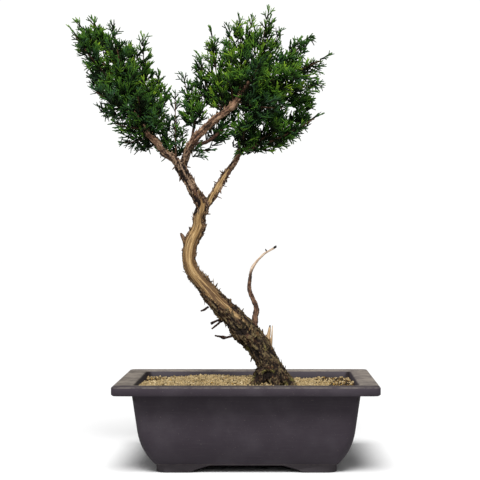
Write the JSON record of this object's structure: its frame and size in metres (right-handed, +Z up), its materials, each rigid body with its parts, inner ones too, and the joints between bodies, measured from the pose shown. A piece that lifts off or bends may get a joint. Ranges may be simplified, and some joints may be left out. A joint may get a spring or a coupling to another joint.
{
  "type": "bonsai tree in a pot",
  "caption": "Potted juniper bonsai: a bent bare trunk with roots, forked branches, a dead curved branch and leafy sprays, planted in grit in a rectangular footed pot.",
  "frame": {"origin": "on the ground under the middle of the whole plant's bounding box", "axes": "+Z up, the pot's long side along X, the pot's front towards -Y"},
  "size_m": [0.2924, 0.185, 0.4381],
  "materials": {
    "pot_plastic": "matte moulded dark purple-grey plastic with light scuffs and worn rim edges",
    "screen_plastic": "black plastic drainage mesh",
    "potting_mix": "moist dark potting mix, about 1000 kg/m3 in bulk",
    "grit": "loose tan grit of 2 to 4 mm grains, about 1000 kg/m3 in bulk",
    "bark": "rough flaky grey-brown bark with a stripped light strip and moss tints",
    "twig_bark": "thin rough brown bark",
    "bare_wood": "weathered bare wood, pale",
    "foliage": "dense scale-leaved juniper foliage, dark green with bright green tips"
  },
  "bodies": {
    "root": {"bud_twig": "twig_bark", "dead_branch": "bare_wood", "dead_twig_1": "twig_bark", "dead_twig_2": "twig_bark", "dead_twig_3": "twig_bark", "drainage_screen_left": "screen_plastic", "drainage_screen_right": "screen_plastic", "left_branch": "bark", "left_spray_01": "foliage", "left_spray_02": "foliage", "left_spray_03": "foliage", "left_spray_04": "foliage", "left_spray_05": "foliage", "left_spray_06": "foliage", "left_spray_07": "foliage", "left_spray_08": "foliage", "left_spray_09": "foliage", "left_spray_10": "foliage", "left_spray_11": "foliage", "left_spray_12": "foliage", "left_spray_13": "foliage", "left_spray_14": "foliage", "left_spray_15": "foliage", "left_spray_16": "foliage", "low_spray_01": "foliage", "low_spray_02": "foliage", "low_twig": "twig_bark", "middle_spray_01": "foliage", "middle_spray_02": "foliage", "middle_spray_03": "foliage", "middle_spray_04": "foliage", "middle_twig": "twig_bark", "pot": "pot_plastic", "right_branch": "bark", "right_spray_01": "foliage", "right_spray_02": "foliage", "right_spray_03": "foliage", "right_spray_04": "foliage", "right_spray_05": "foliage", "right_spray_06": "foliage", "right_spray_07": "foliage", "right_spray_08": "foliage", "right_spray_09": "foliage", "right_spray_10": "foliage", "right_spray_11": "foliage", "right_spray_12": "foliage", "right_spray_13": "foliage", "root_soil": "potting_mix", "side_branch": "bark", "side_spray_01": "foliage", "side_spray_02": "foliage", "side_spray_03": "foliage", "side_spray_04": "foliage", "side_spray_05": "foliage", "side_spray_06": "foliage", "side_twig": "twig_bark", "snag": "bare_wood", "top_grit": "grit", "trunk": "bark", "upper_twig": "twig_bark"}
  },
  "joints": []
}
